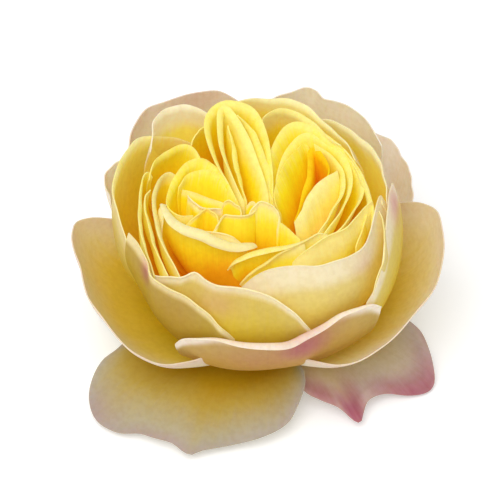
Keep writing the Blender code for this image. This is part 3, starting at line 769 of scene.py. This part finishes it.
def petal_material(kind, colours):
    """A petal's skin: deep at the claw and pale at the lip, partly painted shade and highlight, with fine
    veins, soft mottling, a pink blush, painted shade where it lies deeper in the bloom and a glow in its own
    colour.
    """
    made = bpy.data.materials.new(f"petal_{kind}")
    made.use_nodes = True
    tree = made.node_tree
    shader = tree.nodes["Principled BSDF"]
    skin = SKINS[kind]
    on_petal = node(tree, "ShaderNodeTexCoord", {}, out=OBJECT_PLACE)
    across, along, fade, side, pale, blush, seed, shade = (
        attribute(tree, name) for name in ("across", "along", "fade", "side", "pale", "blush", "seed", "shade"))
    mottle = noise(tree, on_petal, MOTTLE_SCALE, 3.0)
    grain = noise(tree, on_petal, GRAIN_SCALE, 3.0)
    veins = noise(tree, node(tree, "ShaderNodeCombineXYZ", {}, across * VEINS_ACROSS, along * VEINS_ALONG,
                             seed * VEINS_APART), 1.0, 6.0, Roughness=0.7)
    # The place on the colour ramp, shifted per petal by painted light and shade and by mottling and veins.
    place = along + fade + (mottle - 0.5) * UNEVEN + (veins - 0.5) * UNEVEN
    color = blend_colors(tree, side, graded(tree, place, skin.stops, skin.inner),
                         graded(tree, place, skin.stops, skin.outer))
    color = blend_colors(tree, pale, color, colours.pale)
    pink = colours.mauve if kind == "guard" else colours.blush
    color = blend_colors(tree, blush * about_one(mottle, 0.5) * about_one(veins, 0.4), color, pink)
    color = blend_colors(tree, veins.step(0.35, 0.75) * 0.3, color, VEIN_TINT, "MULTIPLY")
    color = blend_colors(tree, grain.step(0.35, 0.7) * 0.5, color, GRAIN_TINT, "MULTIPLY")
    # Painted shade: colours multiplied darker where a petal lies in the bloom's shade.
    color = blend_colors(tree, shade, color, PAINTED_SHADE_TINT, "MULTIPLY")
    bump = node(tree, "ShaderNodeBump", {}, Strength=0.5, Distance=BUMP_DISTANCE,
                Height=veins * 0.7 + mottle * 0.5 + grain * 0.25)
    finish_material(tree, shader, {"Metallic": 0.0, "Subsurface Weight": 0.2,
                                   "Subsurface Radius": (1.0, 0.45, 0.05), "Subsurface Scale": 0.003,
                                   "Specular IOR Level": skin.gloss, "Emission Strength": skin.glow},
                    Base_Color=color, Emission_Color=color, Roughness=0.46 + veins * 0.12, Normal=bump)
    return made


def green_material(colours):
    """Waxy green skin, lighter and darker in soft spots, with a touch of red brown."""
    made = bpy.data.materials.new("green_skin")
    made.use_nodes = True
    tree = made.node_tree
    shader = tree.nodes["Principled BSDF"]
    on_piece = node(tree, "ShaderNodeTexCoord", {}, out=OBJECT_PLACE)
    patches = noise(tree, on_piece, GREEN_SCALE, 4.0)
    fine = noise(tree, on_piece, GREEN_SCALE * GREEN_GRAIN, 3.0)
    color = blend_colors(tree, patches.step(0.35, 0.7), colours.green, colours.green_light)
    color = blend_colors(tree, fine.step(0.62, 0.8) * 0.35, color, RED_BROWN)
    bump = node(tree, "ShaderNodeBump", {}, Strength=0.35, Distance=BUMP_DISTANCE, Height=fine)
    finish_material(tree, shader, {"Specular IOR Level": 0.4, "Subsurface Weight": 0.1,
                                   "Subsurface Scale": 0.001},
                    Base_Color=color, Roughness=0.42 + patches * 0.15, Normal=bump)
    return made


# --------------------------------------------------------------------------- meshes

def set_attribute(mesh, name, values):
    """Give the mesh a number at each point, for its material to read."""
    layer = mesh.attributes.new(name, "FLOAT", "POINT")
    layer.data.foreach_set("value", np.asarray(values, dtype=np.float32))


def spots(places, s, v):
    """The strength of the strongest of several soft spots."""
    strength = np.zeros_like(s)
    for middle_s, middle_v, wide, long, most in places:
        away = ((s - middle_s) / wide) ** 2 + ((v - middle_v) / long) ** 2
        strength = np.maximum(strength, most * np.exp(-away))
    return strength


def petal_piece(petal, surface, sizes, seed):
    """A petal's closed mesh: a grid on the bloom map, ruffled, rolled at its lip and thickened."""
    outer = petal.kind in ("cup", "spread", "guard")
    across, along = OUTER_CELLS if outer else INNER_CELLS
    points, s, v = petal_points(petal, across, along)
    look = petal.look
    dice = random.Random(seed)
    phase = dice.uniform(0, math.tau)
    waving = smooth((v - RUFFLE_FROM) / (1.0 - RUFFLE_FROM)) ** RUFFLE_POWER
    turns = s * WAVES * math.pi
    wave = np.sin(turns + phase) + SMALL_WAVE * np.sin(turns * SMALL_WAVE_RATE + phase * SMALL_WAVE_PHASE)
    if not outer:
        wave = wave * INNER_RUFFLE
    points = points + outward(points) * (look.ruffle * sizes.ruffle * wave * waving)[..., None]
    points = roll_lip(points, v, look)
    bm = bmesh.new()
    bmesh.ops.create_grid(bm, x_segments=across, y_segments=along, size=0.5)
    places = [(round((vert.co.y + 0.5) * along), round((vert.co.x + 0.5) * across)) for vert in bm.verts]
    for vert, place in zip(bm.verts, places):
        vert.co = Vector(points[place]) * MM
    mesh = bpy.data.meshes.new(petal.name)
    bm.to_mesh(mesh)
    bm.free()
    seeds = np.full_like(s, dice.random())
    edge = smooth((v - EDGE_BLUSH_FROM) / (1.0 - EDGE_BLUSH_FROM))
    pink = np.maximum(spots(look.blush, s, v), look.edge_blush * edge)
    lip = smooth((v - look.cream_from) / ((1.0 - look.cream_from) * CREAM_SPAN))
    pale = np.maximum(look.pale, look.cream * lip)
    # Painted shade of hollows deepens the colours in spots.
    fade = look.fade - spots(look.painted_hollow_shade, s, v)
    # Painted shade, kept off the cream lip.
    shade = look.shade * (1.0 - lip)
    rows, columns = np.array(places).T
    for name, values in (("across", s), ("along", v), ("seed", seeds), ("blush", pink), ("pale", pale),
                         ("fade", fade), ("shade", shade)):
        set_attribute(mesh, name, values[rows, columns])
    mesh.materials.append(surface)
    piece = bpy.data.objects.new(f"{petal.name}_petal", mesh)
    bpy.context.scene.collection.objects.link(piece)
    shell = piece.modifiers.new("Thickness", "SOLIDIFY")
    shell.thickness = sizes.thickness
    shell.offset = 0.0
    bpy.context.view_layer.update()
    solid = bpy.data.meshes.new_from_object(piece.evaluated_get(bpy.context.evaluated_depsgraph_get()))
    piece.modifiers.clear()
    piece.data = solid
    bpy.data.meshes.remove(mesh)
    solid.name = petal.name
    set_attribute(solid, "side", np.arange(len(solid.vertices)) < len(places))
    solid.shade_smooth()
    solid.set_sharp_from_angle(angle=SHARP_ANGLE)
    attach(piece, "root")
    if petal.node:
        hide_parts(petal.name)
    return piece


def build_petals(context, *prefixes):
    """Every petal of the table whose name starts with one of the prefixes."""
    scene = context.scene
    for seed, petal in enumerate(PETALS):
        if petal.name.startswith(prefixes):
            skin = (bpy.data.materials.get(f"petal_{petal.kind}")
                    or petal_material(petal.kind, scene.rose_colours))
            petal_piece(petal, skin, scene.rose_sizes, seed)


def place_piece(piece_name, bm, surface, nodes, levels=0):
    """Make a bmesh a green piece that stands for its nodes, made finer by levels."""
    mesh = bpy.data.meshes.new(piece_name)
    bm.to_mesh(mesh)
    bm.free()
    mesh.materials.append(surface)
    mesh.shade_smooth()
    piece = bpy.data.objects.new(piece_name, mesh)
    bpy.context.scene.collection.objects.link(piece)
    if levels:
        finer = piece.modifiers.new("Finer", "SUBSURF")
        finer.levels = finer.render_levels = levels
    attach(piece, "root")
    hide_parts(*nodes)
    return piece


# --------------------------------------------------------------------------- settings

class RoseSizes(bpy.types.PropertyGroup):
    thickness: bpy.props.FloatProperty(
        name="Petal thickness", description="Thickness of each petal",
        default=0.00034, min=0.0001, max=0.001, precision=5, unit="LENGTH")
    ruffle: bpy.props.FloatProperty(
        name="Ruffle", description="Strength of the waves along the lips", default=1.0, min=0.0, max=3.0)


class RoseColours(bpy.types.PropertyGroup):
    pale: bpy.props.FloatVectorProperty(
        name="Pale", description="Cream that the faded petals turn to",
        default=(0.85, 0.78, 0.68), min=0.0, max=1.0, size=3, subtype="COLOR")
    blush: bpy.props.FloatVectorProperty(
        name="Blush", description="Pink of the blushed edges",
        default=(0.52, 0.17, 0.19), min=0.0, max=1.0, size=3, subtype="COLOR")
    mauve: bpy.props.FloatVectorProperty(
        name="Mauve", description="Deeper pink of the guard petals' edges",
        default=(0.36, 0.11, 0.16), min=0.0, max=1.0, size=3, subtype="COLOR")
    green: bpy.props.FloatVectorProperty(
        name="Green", description="Darker green of hip, sepals and stem",
        default=(0.055, 0.13, 0.025), min=0.0, max=1.0, size=3, subtype="COLOR")
    green_light: bpy.props.FloatVectorProperty(
        name="Light green", description="Lighter green of hip, sepals and stem",
        default=(0.16, 0.27, 0.06), min=0.0, max=1.0, size=3, subtype="COLOR")


class RoseStudio(bpy.types.PropertyGroup):
    elevation: bpy.props.FloatProperty(
        name="Camera elevation", description="Angle of the camera above the floor",
        default=math.radians(48.0), subtype="ANGLE", unit="ROTATION")
    distance: bpy.props.FloatProperty(
        name="Camera distance", description="From the camera to the bloom's middle",
        default=0.6, min=0.2, unit="LENGTH")
    view_width: bpy.props.FloatProperty(
        name="View width", description="Width that the view takes in at the bloom",
        default=0.13477, min=0.05, unit="LENGTH", precision=4)
    key_power: bpy.props.FloatProperty(
        name="Key light", description="Power of the overhead soft light in watts", default=3.6, min=0.0)
    fill: bpy.props.FloatProperty(
        name="Fill", description="Strength of the even light from all round", default=0.6, min=0.0)
    floor: bpy.props.FloatVectorProperty(
        name="Floor", description="Colour of the floor",
        default=(0.9, 0.9, 0.89), min=0.0, max=1.0, size=3, subtype="COLOR")


# --------------------------------------------------------------------------- operators

class ROSE_OT_guards(bpy.types.Operator):
    """Build the guard petals that bend down to the floor"""
    bl_idname = "rose.guards"
    bl_label = "Guard Petals"

    def execute(self, context):
        build_petals(context, "guard")
        return {"FINISHED"}


class ROSE_OT_spreads(bpy.types.Operator):
    """Build the open petals that spread from under the cup"""
    bl_idname = "rose.spreads"
    bl_label = "Spreading Petals"

    def execute(self, context):
        build_petals(context, "spread")
        return {"FINISHED"}


class ROSE_OT_cup(bpy.types.Operator):
    """Build the cup of overlapping petals and its linings"""
    bl_idname = "rose.cup"
    bl_label = "Cup"

    def execute(self, context):
        build_petals(context, "cup", "lining")
        return {"FINISHED"}


class ROSE_OT_fans(bpy.types.Operator):
    """Build the folded petals that quarter the bloom"""
    bl_idname = "rose.fans"
    bl_label = "Quarters"

    def execute(self, context):
        build_petals(context, "fold", "page", "front")
        return {"FINISHED"}


class ROSE_OT_heart(bpy.types.Operator):
    """Build the small petals of the heart"""
    bl_idname = "rose.heart"
    bl_label = "Heart"

    def execute(self, context):
        build_petals(context, "heart")
        return {"FINISHED"}


class ROSE_OT_greens(bpy.types.Operator):
    """Build the hip, the sepals and the stem stub"""
    bl_idname = "rose.greens"
    bl_label = "Hip, Sepals and Stem"

    def execute(self, context):
        skin = green_material(context.scene.rose_colours)
        self.hip(skin)
        self.stem(skin)
        for index in range(SEPAL_COUNT):
            self.sepal(index, skin)
        return {"FINISHED"}

    def hip(self, skin):
        """Turn the hip's profile about the bloom's axis."""
        bm = bmesh.new()
        foot, crown = HIP_PROFILE[0][1], HIP_PROFILE[-1][1] + HIP_CROWN
        outline = [(0.0, foot), *HIP_PROFILE, (0.0, crown)]
        verts = [bm.verts.new((radius * MM, 0.0, height * MM)) for radius, height in outline]
        edges = [bm.edges.new(pair) for pair in zip(verts, verts[1:])]
        bmesh.ops.spin(bm, geom=verts + edges, cent=(0, 0, 0), axis=(0, 0, 1), angle=math.tau, steps=48,
                       use_merge=True, use_duplicate=False)
        bmesh.ops.remove_doubles(bm, verts=bm.verts, dist=0.00001)
        bmesh.ops.recalc_face_normals(bm, faces=bm.faces)
        place_piece("hip_skin", bm, skin, ["hip"], levels=1)

    def stem(self, skin):
        """A short tapered stub with softened rims."""
        bm = bmesh.new()
        bmesh.ops.create_cone(bm, cap_ends=True, segments=40, radius1=STEM_RADIUS * MM,
                              radius2=STEM_RADIUS * STEM_TAPER * MM, depth=STEM_TOP * MM)
        bmesh.ops.translate(bm, verts=bm.verts, vec=(0, 0, STEM_TOP / 2 * MM))
        rims = [edge for edge in bm.edges if len(edge.link_faces) == 2
                and any(len(face.verts) > 4 for face in edge.link_faces)]
        bmesh.ops.bevel(bm, geom=rims, offset=STEM_BEVEL * MM, segments=2, profile=0.5, affect="EDGES",
                        material=-1)
        place_piece("stem_skin", bm, skin, ["stem"])

    def sepal(self, index, skin):
        """A pointed leaf that hangs from the hip, keeled along its middle."""
        turn = math.radians(SEPAL_FIRST + index * 360.0 / SEPAL_COUNT)
        bm = bmesh.new()
        bmesh.ops.create_grid(bm, x_segments=16, y_segments=36, size=0.5)
        for vert in bm.verts:
            u, v = 2.0 * vert.co.x, vert.co.y + 0.5
            half = (SEPAL_WIDTH / 2.0 * mix(SEPAL_FOOT, 1.0, math.sin(math.pi * v))
                    * (1.0 - SEPAL_POINT * v * v))
            out = SEPAL_SEAT[0] + SEPAL_LENGTH * v
            height = SEPAL_SEAT[1] - SEPAL_DROP * float(smooth(v)) + SEPAL_KEEL * u * u * (1.0 - v)
            side = half * u
            vert.co = Vector((out * math.cos(turn) - side * math.sin(turn),
                              out * math.sin(turn) + side * math.cos(turn), height)) * MM
        piece = place_piece(f"sepal_{index + 1}_skin", bm, skin, [f"sepal_{index + 1}"])
        shell = piece.modifiers.new("Thickness", "SOLIDIFY")
        shell.thickness = SEPAL_THICKNESS * MM
        shell.offset = 0.0


class ROSE_OT_stage(bpy.types.Operator):
    """Lay the floor, set the soft studio lights and place the camera"""
    bl_idname = "rose.stage"
    bl_label = "Stage"

    def execute(self, context):
        scene = context.scene
        studio = scene.rose_studio
        bm = bmesh.new()
        bmesh.ops.create_grid(bm, x_segments=1, y_segments=1, size=FLOOR_REACH)
        mesh = bpy.data.meshes.new("floor")
        bm.to_mesh(mesh)
        bm.free()
        paper = bpy.data.materials.new("floor_paper")
        paper.use_nodes = True
        shader = paper.node_tree.nodes["Principled BSDF"]
        shader.inputs["Base Color"].default_value = (*studio.floor, 1.0)
        shader.inputs["Roughness"].default_value = FLOOR_ROUGHNESS
        shader.inputs["Emission Color"].default_value = (*WHITE, 1.0)
        shader.inputs["Emission Strength"].default_value = FLOOR_GLOW
        mesh.materials.append(paper)
        floor = bpy.data.objects.new("floor", mesh)
        scene.collection.objects.link(floor)
        world = bpy.data.worlds.new("studio")
        scene.world = world
        world.use_nodes = True
        background = world.node_tree.nodes["Background"]
        background.inputs["Color"].default_value = (*WHITE, 1.0)
        background.inputs["Strength"].default_value = studio.fill
        key = bpy.data.lights.new("key", "AREA")
        key.energy = studio.key_power
        key.size = LAMP_SIZE
        lamp = bpy.data.objects.new("key", key)
        lamp.location = LAMP_PLACE
        lamp.rotation_euler = (-lamp.location).to_track_quat("-Z", "Y").to_euler()
        scene.collection.objects.link(lamp)
        view = Vector((0.0, math.cos(studio.elevation), -math.sin(studio.elevation)))
        lens = bpy.data.cameras.new("camera")
        lens.sensor_width = SENSOR_WIDTH
        lens.lens = lens.sensor_width * studio.distance / studio.view_width
        camera = bpy.data.objects.new("camera", lens)
        camera.location = Vector(BLOOM_MIDDLE) - view * studio.distance
        camera.rotation_euler = view.to_track_quat("-Z", "Y").to_euler()
        lens.shift_x, lens.shift_y = FRAME_SHIFT
        scene.collection.objects.link(camera)
        scene.camera = camera
        scene.view_settings.view_transform = "Standard"
        return {"FINISHED"}


class ROSE_PT_panel(bpy.types.Panel):
    """The rose's settings and its pieces"""
    bl_idname = "ROSE_PT_panel"
    bl_label = "Cut Rose Bloom"
    bl_space_type = "VIEW_3D"
    bl_region_type = "UI"
    bl_category = "Rose"

    def draw(self, context):
        scene = context.scene
        for group in (scene.rose_sizes, scene.rose_colours, scene.rose_studio):
            for name in group.bl_rna.properties.keys():
                if name not in ("rna_type", "name"):
                    self.layout.prop(group, name)
        for operator in PIECES:
            self.layout.operator(operator.bl_idname)


PIECES = (ROSE_OT_guards, ROSE_OT_spreads, ROSE_OT_cup, ROSE_OT_fans, ROSE_OT_heart, ROSE_OT_greens,
          ROSE_OT_stage)
CLASSES = (RoseSizes, RoseColours, RoseStudio, *PIECES, ROSE_PT_panel)


def register():
    """Add the rose's settings, operators and panel."""
    for cls in CLASSES:
        bpy.utils.register_class(cls)
    bpy.types.Scene.rose_sizes = bpy.props.PointerProperty(type=RoseSizes)
    bpy.types.Scene.rose_colours = bpy.props.PointerProperty(type=RoseColours)
    bpy.types.Scene.rose_studio = bpy.props.PointerProperty(type=RoseStudio)


def unregister():
    """Take them away again."""
    del bpy.types.Scene.rose_studio
    del bpy.types.Scene.rose_colours
    del bpy.types.Scene.rose_sizes
    for cls in reversed(CLASSES):
        bpy.utils.unregister_class(cls)


def main():
    """Build the stage and the bloom."""
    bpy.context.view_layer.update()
    register()
    bpy.ops.rose.stage()
    bpy.ops.rose.guards()
    bpy.ops.rose.spreads()
    bpy.ops.rose.cup()
    bpy.ops.rose.fans()
    bpy.ops.rose.heart()
    bpy.ops.rose.greens()


if __name__ == "__main__":
    main()
